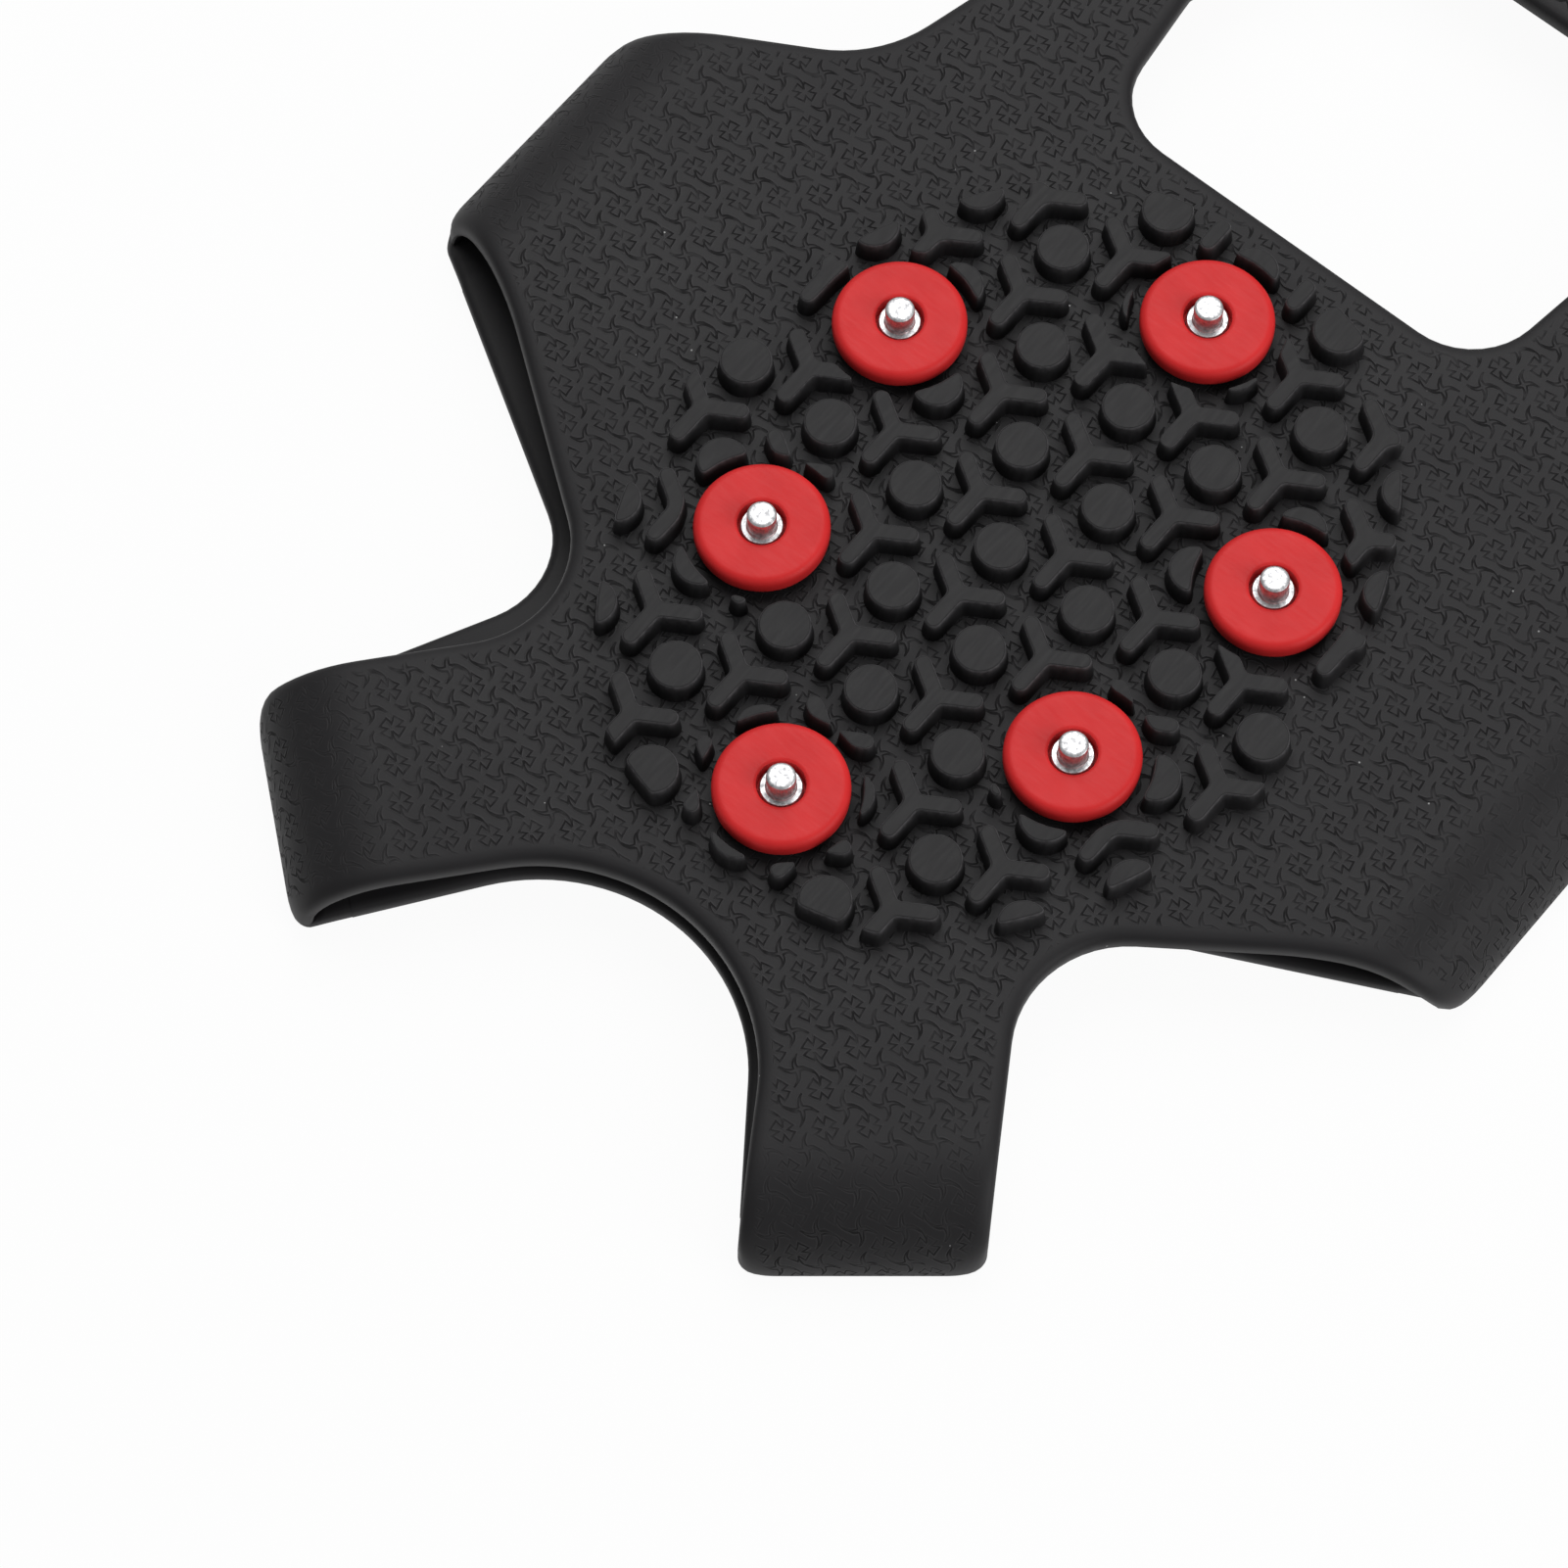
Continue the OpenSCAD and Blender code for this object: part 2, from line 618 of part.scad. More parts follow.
// Red plastic disc of stud i, with the neck that turns in the sole
module stud_disc(i) color(red) in_frame() translate(studs[i - 1]) difference() {
    union() {
        translate([0, 0, stack_h - plate_t + head_t])
            cylinder(d = neck_d, h = plate_t - head_t + face_play);
        translate([0, 0, stack_h + face_play]) rotate_extrude() {
            square([disc_d / 2 - disc_rim_r, disc_h - face_play]);
            square([disc_d / 2, disc_h - face_play - disc_rim_r]);
            intersection() {
                translate([disc_d / 2 - disc_rim_r, disc_h - face_play - disc_rim_r]) circle(disc_rim_r);
                square(disc_d);
            }
        }
    }
    cylinder(d = collar_d + 2 * shank_play, h = stack_h + disc_h + over);
    translate([0, 0, stack_h + disc_h / 2]) cylinder(d = recess_d, h = disc_h);
}

// Steel pin of stud i: a flat head under the sole, a collar, and the point that grips the ice
module stud_pin(i) color(steel) in_frame() translate([studs[i - 1].x, studs[i - 1].y, stack_h]) {
    collar_z = disc_h - collar_drop;
    tip_z = collar_z + point_len;
    rotate_extrude() polygon([
        [0, -plate_t], [head_d / 2, -plate_t],
        [head_d / 2, head_t - plate_t], [collar_d / 2, head_t - plate_t],
        [collar_d / 2, collar_z], [point_d / 2, collar_z],
        [point_d / 2, tip_z - point_edge], [point_d / 2 - point_edge, tip_z], [0, tip_z]]);
}

sole_fore();
tread_fore();
front_lug(-1);  // lug_front_left
front_lug(1);  // lug_front_right
side_lug(-1);  // lug_side_left
side_lug(1);  // lug_side_right
band_toe();
band_fore(-1);  // band_left_fore
band_fore(1);  // band_right_fore
sole_heel();
tread_heel();
heel_lug(-1);  // lug_heel_left
heel_lug(1);  // lug_heel_right
band_side_heel(-1);  // band_left_heel
band_side_heel(1);  // band_right_heel
band_heel();
pull_tab();
for (i = [1 : 10]) stud_disc(i);
for (i = [1 : 10]) stud_pin(i);
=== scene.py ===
"""Slip-on ice cleat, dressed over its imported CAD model: a moulded rubber sole whose lugs fold over
into an upper band, a block tread, and red plastic studs with steel points."""
import math

import bmesh
import bpy
from mathutils import Matrix, Vector
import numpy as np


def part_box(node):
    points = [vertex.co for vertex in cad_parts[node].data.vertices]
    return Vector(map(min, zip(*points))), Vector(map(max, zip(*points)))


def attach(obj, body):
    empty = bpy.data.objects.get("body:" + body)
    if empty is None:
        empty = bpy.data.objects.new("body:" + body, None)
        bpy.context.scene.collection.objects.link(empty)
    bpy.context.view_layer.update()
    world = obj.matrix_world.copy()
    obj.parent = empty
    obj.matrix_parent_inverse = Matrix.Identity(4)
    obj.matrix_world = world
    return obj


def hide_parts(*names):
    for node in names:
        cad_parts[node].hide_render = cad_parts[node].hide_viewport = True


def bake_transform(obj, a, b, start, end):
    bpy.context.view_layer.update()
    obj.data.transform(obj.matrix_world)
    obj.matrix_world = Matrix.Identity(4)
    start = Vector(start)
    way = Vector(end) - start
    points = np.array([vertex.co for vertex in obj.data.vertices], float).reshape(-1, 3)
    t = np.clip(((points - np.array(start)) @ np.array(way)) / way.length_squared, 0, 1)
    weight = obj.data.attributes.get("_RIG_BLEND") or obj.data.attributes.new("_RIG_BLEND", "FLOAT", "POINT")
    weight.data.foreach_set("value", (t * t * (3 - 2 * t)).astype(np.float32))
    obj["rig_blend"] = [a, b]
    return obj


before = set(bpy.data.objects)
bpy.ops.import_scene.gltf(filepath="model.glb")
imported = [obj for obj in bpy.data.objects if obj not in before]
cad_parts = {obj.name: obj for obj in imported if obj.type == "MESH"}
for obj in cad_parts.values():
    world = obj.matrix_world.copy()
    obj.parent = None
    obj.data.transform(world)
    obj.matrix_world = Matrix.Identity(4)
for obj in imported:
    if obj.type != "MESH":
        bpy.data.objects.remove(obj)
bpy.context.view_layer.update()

# Rubber sole: one soft black moulding, a plate with six lugs and two arms round a window. The ends
# of the lugs roll over and run back below as the upper band. Its outer face is embossed.
# Sizes are in millimetres from the middle of the forefoot tread, and Z from the floor.
mm = 0.001
plate_top, plate_foot = 10, 7.4
lug_corner = 2.2
flank, heel_flank, heel_notch = Vector((59.5, 47.5, 0)), Vector((42, 102, 0)), Vector((0, 136, 0))
flank_r, heel_flank_r, heel_notch_r = 15, 11, 14
side_front_lean, side_rear_lean, arm_turn, heel_turn = 36, 30, 193.8, 50
flare_length, flare_lean = 9, 12
heel_lug_out, heel_lug_from = 36, Vector((0, 106, 0))
studs = {
    "stud_%d" % i: sum(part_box("stud_disc_%d" % i), Vector()) / 2 for i in range(1, 11)
}
tread_centre = Vector((studs["stud_1"].x, studs["stud_1"].y + 34.3 * mm, 0))


def heading(angle):
    return Vector((math.cos(math.radians(angle)), math.sin(math.radians(angle)), 0))


def corner_at(start, lean, end, reach):
    """Corner of a lug: where its side, from a point at an angle, comes to its end."""
    return start + heading(lean) * ((reach - start.dot(end)) / heading(lean).dot(end))


def touch_angle(point, centre, radius, turn):
    """Angle on a circle at which a line from a point outside touches it."""
    run = point - centre
    return math.degrees(math.atan2(run.y, run.x)) + turn * math.degrees(math.acos(radius / run.length))


def half_plan(side, band):
    """One half of the plate's or the band's plan, the left one (side -1) as its mirror image: its
    notches as arcs, and its lugs as (end, reach, front side, rear side), a side being points."""
    toe = Vector((-0.45 * side, -71.4, 0))
    notch = Vector((43.1, -33.3, 0)) if side > 0 else Vector((43.5, -33, 0))
    end, reach, lean = heading(-50.4), 74.4 - 1.3 * side, 53.5 + 4 * side
    toe_r, toe_turn = 21.8, 90 - lean
    notch_r, from_turn, to_turn = 11.6, 270 - lean, 90 + side_front_lean
    toe_in = corner_at(toe + heading(toe_turn) * toe_r, -lean, end, reach)
    toe_out = corner_at(notch + heading(from_turn) * notch_r, -lean, end, reach)
    side_reach = 67.2 - 3.7 * side
    flare = corner_at(
        notch + heading(to_turn) * notch_r, side_front_lean, heading(0), side_reach - flare_length)
    side_in = flare + Vector((flare_length, flare_length * math.tan(math.radians(flare_lean)), 0))
    side_from = flank + heading(270 - side_rear_lean) * flank_r
    side_out = corner_at(side_from, -side_rear_lean, heading(0), side_reach)
    if band:
        toe, toe_r = Vector((-2.2 * side, -69.3, 0)), 20.8
        notch, notch_r = notch + Vector((-2.5 * side, 3, 0)), 11.6 if side > 0 else 9.5
        side_in += Vector((0, 3 if side > 0 else -0.7, 0))
        toe_turn = touch_angle(toe_in, toe, toe_r, 1)
        from_turn = touch_angle(toe_out, notch, notch_r, -1) + 360
        to_turn = touch_angle(side_in, notch, notch_r, 1)
        bend = [side_in]
    else:
        back = flare - heading(side_front_lean) * (side_in - flare).length
        bend = [back.lerp(flare, t / 10).lerp(flare.lerp(side_in, t / 10), t / 10) for t in range(11)]
    heel_end = heading(heel_turn)
    heel_reach = heel_lug_out + heel_lug_from.dot(heel_end)
    heel_front = heel_flank + heading(90 + heel_turn) * heel_flank_r
    heel_rear = heel_notch + heading(heel_turn - 90) * heel_notch_r
    heel_in = corner_at(heel_front, heel_turn, heel_end, heel_reach)
    heel_out = corner_at(heel_rear, heel_turn, heel_end, heel_reach)
    arcs = [(toe, toe_r, 90, toe_turn), (notch, notch_r, from_turn, to_turn),
            (flank, flank_r, 270 - side_rear_lean, arm_turn),
            (heel_flank, heel_flank_r, arm_turn, 90 + heel_turn),
            (heel_notch, heel_notch_r, heel_turn - 90, -90)]
    toe_from, notch_from, notch_to = (
        centre + heading(turn) * radius for centre, radius, turn in (
            (toe, toe_r, toe_turn), (notch, notch_r, from_turn), (notch, notch_r, to_turn)))
    lugs = [(end, reach, [toe_from, toe_in], [notch_from, toe_out]),
            (heading(0), side_reach, [notch_to] + bend, [side_from, side_out]),
            (heel_end, heel_reach, [heel_front, heel_in], [heel_rear, heel_out])]
    return arcs, lugs


def side_at(side, end, distance):
    """Point of a lug's side at a distance along the lug."""
    for a, b in zip(side, side[1:]):
        if distance <= b.dot(end) or b == side[-1]:
            return a.lerp(b, (distance - a.dot(end)) / (b - a).dot(end))


def edge_path(bm, *stretches):
    """Chain of edges through points and arcs, an arc being (centre, radius, from, to)."""
    made, last = [], None
    for stretch in stretches:
        is_arc = isinstance(stretch, tuple)
        start = stretch[0] + heading(stretch[2]) * stretch[1] if is_arc else stretch
        vert = bm.verts.new(start)
        if last:
            bm.edges.new((last, vert))
        made.append(vert)
        if is_arc:
            sweep = math.radians(stretch[3] - stretch[2])
            bm.verts.index_update()
            count = len(bm.verts)
            steps = max(4, round(abs(sweep) * max(5, stretch[1]) / 1.3))
            bmesh.ops.spin(bm, geom=[vert], cent=stretch[0], axis=(0, 0, 1), angle=sweep, steps=steps)
            bm.verts.ensure_lookup_table()
            made += bm.verts[count:]
        last = made[-1]
    return made


def outline(bm, band):
    """Outline of the plate or the band: its lugs' ends are still square."""
    for side in (1, -1):
        arcs, lugs = half_plan(side, band)
        ends = [(front[1:], rear[1:]) for _, _, front, rear in lugs]
        half = edge_path(
            bm, arcs[0], *ends[0][0], *ends[0][1], arcs[1], *ends[1][0], *ends[1][1], arcs[2], arcs[3],
            *ends[2][0], *ends[2][1], arcs[4])
        bmesh.ops.scale(bm, vec=(side, 1, 1), verts=half)


def opening(bm, *stretches, sides=(1, -1)):
    """Edge of an opening, from the stretches of its right half."""
    for side in sides:
        bmesh.ops.scale(bm, vec=(side, 1, 1), verts=edge_path(bm, *stretches))


def of_kind(geom, kind):
    return [g for g in geom if isinstance(g, kind)]


def thick_sheet(bm, top, foot, upper_round, lower_round, outer_up, seats=(), seat_r=5.8, seat_top=8.5):
    """Makes a moulded sheet of the outline in bm. Its edges are rounded in steps (inwards, outwards),
    and round seats are sunk in its underside. Its outer face is marked for embossing."""
    emboss = bm.verts.layers.float.new("emboss")
    bm.verts.layers.float_vector.new("place")
    flat = bm.verts.layers.float_vector.new("flat")
    bmesh.ops.remove_doubles(bm, verts=bm.verts, dist=1e-4)
    edge = bm.edges[:]
    bmesh.ops.translate(bm, verts=bm.verts, vec=(0, 0, top - sum(step[1] for step in upper_round)))
    upper = of_kind(bmesh.ops.triangle_fill(bm, edges=edge, use_beauty=True)["geom"], bmesh.types.BMFace)
    wall = bmesh.ops.extrude_edge_only(bm, edges=edge)["geom"]
    lower_edge = [e for e in of_kind(wall, bmesh.types.BMEdge) if e.is_boundary]
    low = foot + sum(step[1] for step in lower_round)
    for vert in of_kind(wall, bmesh.types.BMVert):
        vert.co.z = low
    seat_edges = []
    for seat in seats:
        ring = bmesh.ops.create_circle(
            bm, segments=40, radius=seat_r, matrix=Matrix.Translation((seat.x, seat.y, low)))["verts"]
        seat_edges += list({e for v in ring for e in v.link_edges})
    lower = bmesh.ops.triangle_fill(bm, edges=lower_edge + seat_edges, use_beauty=True)["geom"]
    lower = of_kind(lower, bmesh.types.BMFace)
    if seat_edges:
        cup = bmesh.ops.extrude_edge_only(bm, edges=seat_edges)["geom"]
        for vert in of_kind(cup, bmesh.types.BMVert):
            vert.co.z = seat_top
        bmesh.ops.holes_fill(bm, edges=[e for e in of_kind(cup, bmesh.types.BMEdge) if e.is_boundary])
    bmesh.ops.recalc_face_normals(bm, faces=bm.faces)
    for faces, steps in ((upper, upper_round), (lower, lower_round)):
        for inwards, outwards in steps:
            bmesh.ops.inset_region(
                bm, faces=faces, thickness=inwards, depth=outwards, use_boundary=True,
                use_even_offset=True)
    for face in upper if outer_up else lower:
        for vert in face.verts:
            vert[emboss] = 1
    for vert in bm.verts:
        vert[flat] = vert.co


def cut_through(bm, point, normal, clear=False):
    """Edges and vertices of a plane cut, which can also clear what lies beyond it."""
    cut = bmesh.ops.bisect_plane(
        bm, geom=bm.verts[:] + bm.edges[:] + bm.faces[:], dist=1e-5, plane_co=point, plane_no=normal,
        clear_outer=clear)["geom_cut"]
    return of_kind(cut, bmesh.types.BMEdge), of_kind(cut, bmesh.types.BMVert)


# The roll of a lug's end as seen from its side: a quarter of an oval down to the floor and a tight
# turn below, then a straight run inside the band. A row has the places of its outer and inner
# face, and its lean.
fold, fold_out, fold_rise = [], 10.7, 8.8
turn_r, turn_out = 1.2, 9.5
inner_out, inner_rise, inner_foot = 8.4, 5.5, 1.9
for step in range(1, 13):
    turn = math.radians(90 - 7.5 * step)
    along, rise = math.cos(turn), math.sin(turn)
    fold.append((Vector((fold_out * along, turn_r + fold_rise * rise)),
                 Vector((inner_out * along, inner_foot + inner_rise * rise)),
                 math.degrees(math.atan2(fold_rise * along, fold_out * rise))))
for step in range(1, 6):
    turn = math.radians(18 * step)
    fold.append((Vector((turn_out + turn_r * math.cos(turn), turn_r - turn_r * math.sin(turn))),
                 Vector((inner_out - 0.22 * step, inner_foot + 0.088 * step)), 90 + 18 * step))
fold += [(Vector((turn_out - run, 0.06)), Vector((7.3 - run, 2.34)), 180) for run in (2.5, 5)]


def lug_sides(lug_rows, end, across, distance):
    """Left and right side of a lug at a distance along it."""
    left, right = sorted(side_at(row, end, distance).dot(across) for row in lug_rows)
    return Vector((left, right))


def fold_lug(bm, side, plate_lug, band_lug):
    """Cuts a lug off where its roll begins and draws it on round the roll, along the plate's sides
    above and along the band's sides below. The emboss is faint on the crest."""
    flip = Matrix.Diagonal((side, 1, 1))
    end, reach = flip @ plate_lug[0], plate_lug[1]
    above, below = ([[flip @ p for p in row] for row in lug[2:]] for lug in (plate_lug, band_lug))
    start = reach - fold_out
    across = Vector((-end.y, end.x, 0))
    edge, verts = cut_through(bm, end * start, end, clear=True)
    flat, place = (bm.verts.layers.float_vector[name] for name in ("flat", "place"))
    emboss = bm.verts.layers.float["emboss"]
    for vert in verts:
        depth = (plate_top - vert.co.z) / (plate_top - plate_foot)
        vert[place] = (vert.co.dot(across), depth, vert[emboss])
        vert[emboss] *= 0.7
    from_left, from_right = lug_sides(above, end, across, start)
    border, used, last = 2.4, 0, Vector((0, plate_top))
    for outer, inner, lean in fold:
        under = min(1, max(0, (lean - 30) / 120))
        under *= under * (3 - 2 * under)
        used, last = used + (outer - last).length, outer
        tucked = 0.06 if lean == 180 and outer.y > 0 else 0
        drawn = bmesh.ops.extrude_edge_only(bm, edges=edge)["geom"]
        edge = [e for e in of_kind(drawn, bmesh.types.BMEdge) if e.is_boundary]
        for vert in of_kind(drawn, bmesh.types.BMVert):
            lateral, depth, marked = vert[place]
            out, height = outer.lerp(inner, depth)
            inside = fold_out - out
            left, right = lug_sides(above, end, across, reach - inside).lerp(
                lug_sides(below, end, across, reach - inside), under)
            from_corner = lug_corner - min(inside, lug_corner)
            pinch = lug_corner - math.sqrt(lug_corner ** 2 - from_corner ** 2) + tucked
            left, right = left + pinch, right - pinch
            if lateral - from_left < border:
                lateral += left - from_left
            elif from_right - lateral < border:
                lateral += right - from_right
            else:
                lateral = left + border + (lateral - from_left - border) * (
                    (right - left - 2 * border) / (from_right - from_left - 2 * border))
            vert.co = end * (reach - inside) + across * lateral
            vert.co.z = height
            vert[flat] = end * (start + used) + across * lateral
            vert[emboss] = marked * (0.5 if lean < 40 else 1)
    bmesh.ops.holes_fill(bm, edges=edge)


def finish_piece(bm, name, material, sharp=40):
    """Brings a piece from millimetres about the tread into the frame, as an object of its own."""
    bmesh.ops.remove_doubles(bm, verts=bm.verts, dist=1e-4)
    bmesh.ops.recalc_face_normals(bm, faces=bm.faces)
    flat = bm.verts.layers.float_vector.get("flat")
    if flat:
        sheet = bm.loops.layers.uv.new("sheet")
        for face in bm.faces:
            for loop in face.loops:
                loop[sheet].uv = loop.vert[flat].xy
    bmesh.ops.scale(bm, vec=(mm, mm, mm), verts=bm.verts)
    bmesh.ops.translate(bm, vec=tread_centre, verts=bm.verts)
    for face in bm.faces:
        face.smooth = True
    mesh = bpy.data.meshes.new(name)
    bm.to_mesh(mesh)
    bm.free()
    mesh.set_sharp_from_angle(angle=math.radians(sharp))
    mesh.materials.append(material)
    made = bpy.data.objects.new(name, mesh)
    bpy.context.scene.collection.objects.link(made)
    return made


def new_finish(name):
    made = bpy.data.materials.new(name)
    made.use_nodes = True
    return made, made.node_tree, made.node_tree.nodes["Principled BSDF"]


def lay(tree, kind, *feeds, give=0, **settings):
    """Adds a shader node fed in order with numbers, colours or other nodes' outputs, and gives one
    of its outputs."""
    made = tree.nodes.new(kind)
    for name, value in settings.items():
        setattr(made, name, value)
    for socket, feed in zip(made.inputs, feeds):
        if isinstance(feed, bpy.types.NodeSocket):
            tree.links.new(feed, socket)
        elif feed is not None:
            socket.default_value = feed
    return made.outputs[give]


def blend_colours(tree, share, first, second):
    """Colour between two others, each a constant or an output."""
    made = tree.nodes.new("ShaderNodeMix")
    made.data_type = "RGBA"
    tree.links.new(share, made.inputs["Factor"])
    for name, colour in (("A", first), ("B", second)):
        socket = [s for s in made.inputs if s.name == name and s.type == "RGBA"][0]
        if isinstance(colour, bpy.types.NodeSocket):
            tree.links.new(colour, socket)
        else:
            socket.default_value = (*colour, 1)
    return [s for s in made.outputs if s.type == "RGBA"][0]


def set_relief(tree, shader, height, strength, depth):
    """Bump of a height pattern, with its depth in metres."""
    bump = tree.nodes.new("ShaderNodeBump")
    bump.inputs["Strength"].default_value = strength
    bump.inputs["Distance"].default_value = depth
    tree.links.new(height, bump.inputs["Height"])
    tree.links.new(bump.outputs["Normal"], shader.inputs["Normal"])


rubber, tree, shader = new_finish("moulded_rubber")


def calc(operation, *feeds):
    return lay(tree, "ShaderNodeMath", *feeds, operation=operation)


def two_axes(vector):
    made = tree.nodes.new("ShaderNodeSeparateXYZ")
    tree.links.new(vector, made.inputs[0])
    return made.outputs[0], made.outputs[1]


# The emboss is fine grooves drawn in rows: stars with four curved spikes take turns with small
# flared crosses, and an arc runs from each star to the next cross. Every other row is turned over.
where = lay(tree, "ShaderNodeUVMap", uv_map="sheet")
wander = lay(tree, "ShaderNodeTexNoise", where, None, 0.35, 2, give=1)
where = lay(tree, "ShaderNodeVectorMath", wander, (0.5, 0.5, 0), where, operation="MULTIPLY_ADD")
motif_x, motif_y = 3, 2.83
where = lay(tree, "ShaderNodeVectorMath", where, (1 / motif_x, 1 / motif_y, 0), (9.4, 13.6, 0),
            operation="MULTIPLY_ADD")
along, up = two_axes(where)
row = calc("ROUND", up)
turned_row = calc("FLOORED_MODULO", row, 2)
turn = calc("SUBTRACT", 1, calc("MULTIPLY", turned_row, 2))
up = calc("MULTIPLY", calc("SUBTRACT", up, row), turn)
along = calc("ADD", calc("ADD", calc("MULTIPLY", along, turn), turned_row), 0.5)
along = calc("SUBTRACT", calc("FLOORED_MODULO", along, 2), 0.5)


def four_arms(first, second, width, flare, reach):
    """Distance from the edge of four arms along two axes, each wider or narrower towards its end."""
    first, second = calc("ABSOLUTE", first), calc("ABSOLUTE", second)
    out, aside = calc("MAXIMUM", first, second), calc("MINIMUM", first, second)
    aside = calc("SUBTRACT", aside, calc("ADD", width, calc("MULTIPLY", out, flare)))
    return calc("ABSOLUTE", calc("MAXIMUM", aside, calc("SUBTRACT", out, reach)))


def turned_axes(x, y, degrees):
    cos, sin = math.cos(math.radians(degrees)), math.sin(math.radians(degrees))
    return (calc("ADD", calc("MULTIPLY", x, cos), calc("MULTIPLY", y, sin)),
            calc("SUBTRACT", calc("MULTIPLY", y, cos), calc("MULTIPLY", x, sin)))


spike_turn, cross_turn, arc_r, arc_foot = 37, 10, 0.575, 0.13
spike_x, spike_y = turned_axes(along, up, spike_turn)
bent_x = calc("ADD", spike_x, calc("MULTIPLY", calc("SINE", calc("MULTIPLY", spike_y, 5.4)), 0.09))
bent_y = calc("SUBTRACT", spike_y, calc("MULTIPLY", calc("SINE", calc("MULTIPLY", spike_x, 6.6)), 0.08))
star = four_arms(bent_x, bent_y, width=0.1, flare=-0.17, reach=0.58)
cross_x, cross_y = turned_axes(calc("SUBTRACT", along, 1), up, cross_turn)
cross = four_arms(cross_x, cross_y, width=0.076, flare=0.31, reach=0.37)
arc_x, arc_y = calc("SUBTRACT", along, 0.455), calc("ADD", up, 0.255)
arc = calc("SQRT", calc("ADD", calc("MULTIPLY", arc_x, arc_x), calc("MULTIPLY", arc_y, arc_y)))
arc = calc("MAXIMUM", calc("ABSOLUTE", calc("SUBTRACT", arc, arc_r)), calc("SUBTRACT", arc_foot, up))
line = calc("MINIMUM", calc("MINIMUM", star, cross), arc)
at = lay(tree, "ShaderNodeTexCoord", give=3)
grain = lay(tree, "ShaderNodeTexNoise", at, None, 2600, 3)
patchy = lay(tree, "ShaderNodeTexNoise", at, None, 700, 2)
cloudy = lay(tree, "ShaderNodeTexNoise", at, None, 60, 4)
worn = lay(tree, "ShaderNodeMapRange", patchy, 0.38, 0.6, 0.25, 0.9)
worn = calc("MULTIPLY", worn, lay(tree, "ShaderNodeAttribute", attribute_name="emboss", give=2))
groove = lay(tree, "ShaderNodeMapRange", line, 0.014, 0.044, 1, 0, interpolation_type="SMOOTHSTEP")
groove = calc("MULTIPLY", groove, worn)
lip = lay(tree, "ShaderNodeMapRange", line, 0.045, 0.1, 1, 0, interpolation_type="SMOOTHSTEP")
lip = calc("MULTIPLY", lip, worn)
tone = lay(tree, "ShaderNodeMapRange", cloudy, 0.3, 0.7, 0, 1)
black = blend_colours(tree, tone, (0.0127, 0.0121, 0.0132), (0.0175, 0.0167, 0.0181))
# The lips beside the grooves are painted lighter as well as raised in the bump: a painted highlight.
black = blend_colours(tree, calc("MULTIPLY", lip, 0.6), black, (0.034, 0.0328, 0.0346))
# The grooves are painted nearly black as well as sunk in the bump: painted shade in the grooves.
black = blend_colours(tree, calc("MULTIPLY", groove, 0.8), black, (0.002, 0.0019, 0.002))
# Specks of pale dust lie here and there.
speck = lay(tree, "ShaderNodeTexVoronoi", at, None, 260)
chosen, _ = two_axes(lay(tree, "ShaderNodeTexVoronoi", at, None, 260, give=1))
dusty = calc("MULTIPLY", calc("LESS_THAN", speck, 0.026), calc("GREATER_THAN", chosen, 0.25))
tree.links.new(blend_colours(tree, dusty, black, (0.3, 0.3, 0.3)), shader.inputs["Base Color"])
dull = lay(tree, "ShaderNodeMapRange", cloudy, 0.3, 0.7, 0.5, 0.6)
tree.links.new(calc("ADD", dull, calc("MULTIPLY", groove, 0.4)), shader.inputs["Roughness"])
shader.inputs["Specular IOR Level"].default_value = 0.24
relief = calc("ADD", calc("MULTIPLY", grain, 0.14), calc("MULTIPLY", lip, 0.25))
set_relief(tree, shader, calc("SUBTRACT", relief, groove), 0.7, 0.00014)

sole = bmesh.new()
outline(sole, False)
opening(sole, Vector((0, 47.5, 0)), (Vector((16.5, 56, 0)), 8.5, -90, -8),
        (Vector((6.16, 65.71, 0)), 20, -7.9, 13.8), (Vector((16.5, 79, 0)), 7, 13.8, 90),
        Vector((0, 86, 0)))
outer_round = [(0.1, 0.35), (0.2, 0.28), (0.4, 0.2), (0.6, 0.12), (0.6, 0.03)]
inner_round = [(0.15, 0.3), (0.3, 0.2), (0.5, 0.1)]
thick_sheet(sole, plate_top, plate_foot, outer_round, inner_round, True,
            seats=[(place - tread_centre) / mm for place in studs.values()])


def cut_for_bending(bm):
    """Cuts the arms across, so that they bend smoothly."""
    for y in range(44, 92, 2):
        cut_through(bm, (0, y, 0), (0, 1, 0))


cut_for_bending(sole)
for side in (1, -1):
    for plate_lug, band_lug in zip(half_plan(side, False)[1], half_plan(side, True)[1]):
        fold_lug(sole, side, plate_lug, band_lug)
sole = finish_piece(sole, "rubber_sole", rubber)
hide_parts("sole_fore", "sole_heel", "lug_front_left", "lug_front_right", "lug_side_left",
            "lug_side_right", "lug_heel_left", "lug_heel_right")
bend_from, bend_to = (tread_centre + Vector((0, y * mm, 8.7 * mm)) for y in (54, 80))
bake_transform(sole, "forefoot", "heel_half", bend_from, bend_to)

# Upper band: the same rubber carried on under the lugs, a flat ring round the foot opening. It lies
# a little to the left of the plate, and ends inside the rolls of the lugs.
band = bmesh.new()
outline(band, True)
for side in (1, -1):
    front, front_r = Vector((-2.5 * side, -8, 0)), 28
    opening(band, (front, front_r, -90, 0), Vector((front_r - 2.5 * side, 60.75, 0)),
            (Vector((0, 90, 0)), 22, 11.5, 90), sides=(side,))
thick_sheet(band, 2.4, 0, inner_round, outer_round, False)
cut_for_bending(band)
for side in (1, -1):
    for end, reach, _, _ in half_plan(side, True)[1]:
        end = Vector((end.x * side, end.y, 0))
        edge, _ = cut_through(band, end * (reach - 6), end, clear=True)
        bmesh.ops.holes_fill(band, edges=edge)
band = finish_piece(band, "upper_band", rubber)
